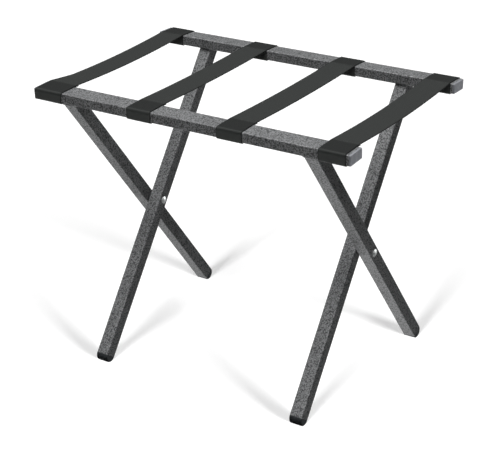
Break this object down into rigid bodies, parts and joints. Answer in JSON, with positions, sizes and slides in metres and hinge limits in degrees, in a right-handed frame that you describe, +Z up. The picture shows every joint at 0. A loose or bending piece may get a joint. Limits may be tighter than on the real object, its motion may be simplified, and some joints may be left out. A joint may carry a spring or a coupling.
{
  "type": "folding luggage rack",
  "caption": "Folding X-frame luggage rack of speckled grey steel tube with dark webbing straps across two top rails, on rounded plastic feet.",
  "frame": {"origin": "on the floor, under the middle of the rack as it stands open", "axes": "+X along the rails to the right, +Y from the front rail to the rear rail, +Z up"},
  "size_m": [0.61, 0.4048, 0.5151],
  "materials": {
    "frame_coat": "speckled grey hammertone powder coat, satin",
    "rail_cap_plastic": "moulded grey nylon",
    "foot_cap_plastic": "moulded black nylon, worn flat underneath",
    "rivet_steel": "bright zinc plate",
    "spacer_nylon": "moulded black nylon",
    "strap_webbing": "woven polypropylene webbing, charcoal"
  },
  "bodies": {
    "outer_frame": {"front_rail": "frame_coat", "front_rail_cap_left": "rail_cap_plastic", "front_rail_cap_right": "rail_cap_plastic", "outer_leg_left": "frame_coat", "outer_leg_right": "frame_coat", "foot_cap_rear_left": "foot_cap_plastic", "foot_cap_rear_right": "foot_cap_plastic", "pivot_rivet_left": "rivet_steel", "pivot_rivet_right": "rivet_steel", "pivot_spacer_left": "spacer_nylon", "pivot_spacer_right": "spacer_nylon", "strap_1_front_loop": "strap_webbing", "strap_2_front_loop": "strap_webbing", "strap_3_front_loop": "strap_webbing", "strap_4_front_loop": "strap_webbing"},
    "inner_frame": {"rear_rail": "frame_coat", "rear_rail_cap_left": "rail_cap_plastic", "rear_rail_cap_right": "rail_cap_plastic", "inner_leg_left": "frame_coat", "inner_leg_right": "frame_coat", "foot_cap_front_left": "foot_cap_plastic", "foot_cap_front_right": "foot_cap_plastic", "strap_1_rear_loop": "strap_webbing", "strap_2_rear_loop": "strap_webbing", "strap_3_rear_loop": "strap_webbing", "strap_4_rear_loop": "strap_webbing"},
    "front_straps": {"strap_1_front_span": "strap_webbing", "strap_2_front_span": "strap_webbing", "strap_3_front_span": "strap_webbing", "strap_4_front_span": "strap_webbing"},
    "rear_straps": {"strap_1_rear_span": "strap_webbing", "strap_2_rear_span": "strap_webbing", "strap_3_rear_span": "strap_webbing", "strap_4_rear_span": "strap_webbing"}
  },
  "joints": [
    {"name": "fold", "type": "hinge", "parent": "outer_frame", "child": "inner_frame", "pos_m": [0, 0, 0.2523], "axis": [1, 0, 0], "range_deg": [0, 61], "deforming": ["strap_1_front_span", "strap_2_front_span", "strap_3_front_span", "strap_4_front_span", "strap_1_rear_span", "strap_2_rear_span", "strap_3_rear_span", "strap_4_rear_span"]},
    {"name": "front_strap_bend", "type": "hinge", "parent": "outer_frame", "child": "front_straps", "pos_m": [0, -0.1602, 0.51435], "axis": [1, 0, 0], "range_deg": [-57.2, 0]},
    {"name": "rear_strap_bend", "type": "hinge", "parent": "inner_frame", "child": "rear_straps", "pos_m": [0, 0.1602, 0.51435], "axis": [1, 0, 0], "range_deg": [0, 57.2]}
  ],
  "couplings": [
    {"joint": "front_strap_bend", "follows": "fold", "ratio": -0.937},
    {"joint": "rear_strap_bend", "follows": "fold", "ratio": 0.937}
  ]
}
